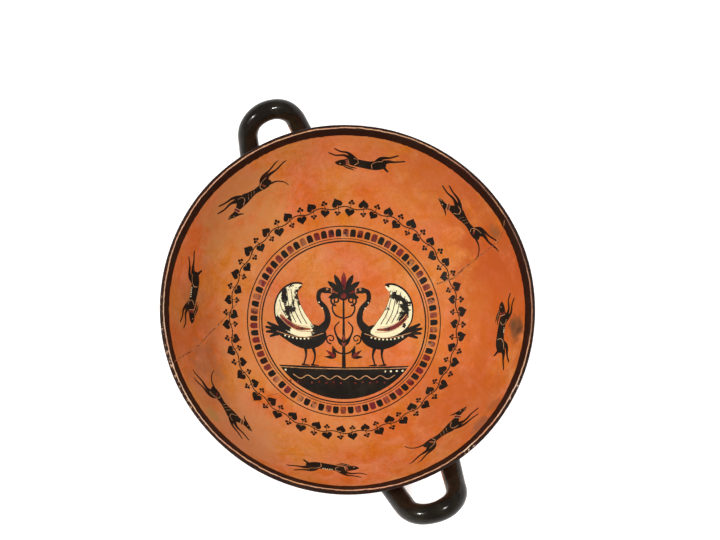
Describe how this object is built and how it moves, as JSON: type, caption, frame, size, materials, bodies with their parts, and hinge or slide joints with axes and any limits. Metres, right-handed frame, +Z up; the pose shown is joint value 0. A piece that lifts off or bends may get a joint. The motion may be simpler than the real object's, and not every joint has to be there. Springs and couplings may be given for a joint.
{
  "type": "kylix drinking cup",
  "caption": "Wide two-handled drinking cup of painted fired clay: deep open bowl on a short flaring foot, with upturned loop handles.",
  "frame": {"origin": "centre of the foot's underside, on the plane the cup stands on", "axes": "+Z up through the middle of the bowl, X through the two handles, Y across them"},
  "size_m": [0.377, 0.305, 0.136],
  "materials": {
    "painted_clay": "orange-red clay slip with glossy black painting, added white and purple-red, worn and mended"
  },
  "bodies": {
    "root": {"kylix": "painted_clay"}
  },
  "joints": []
}
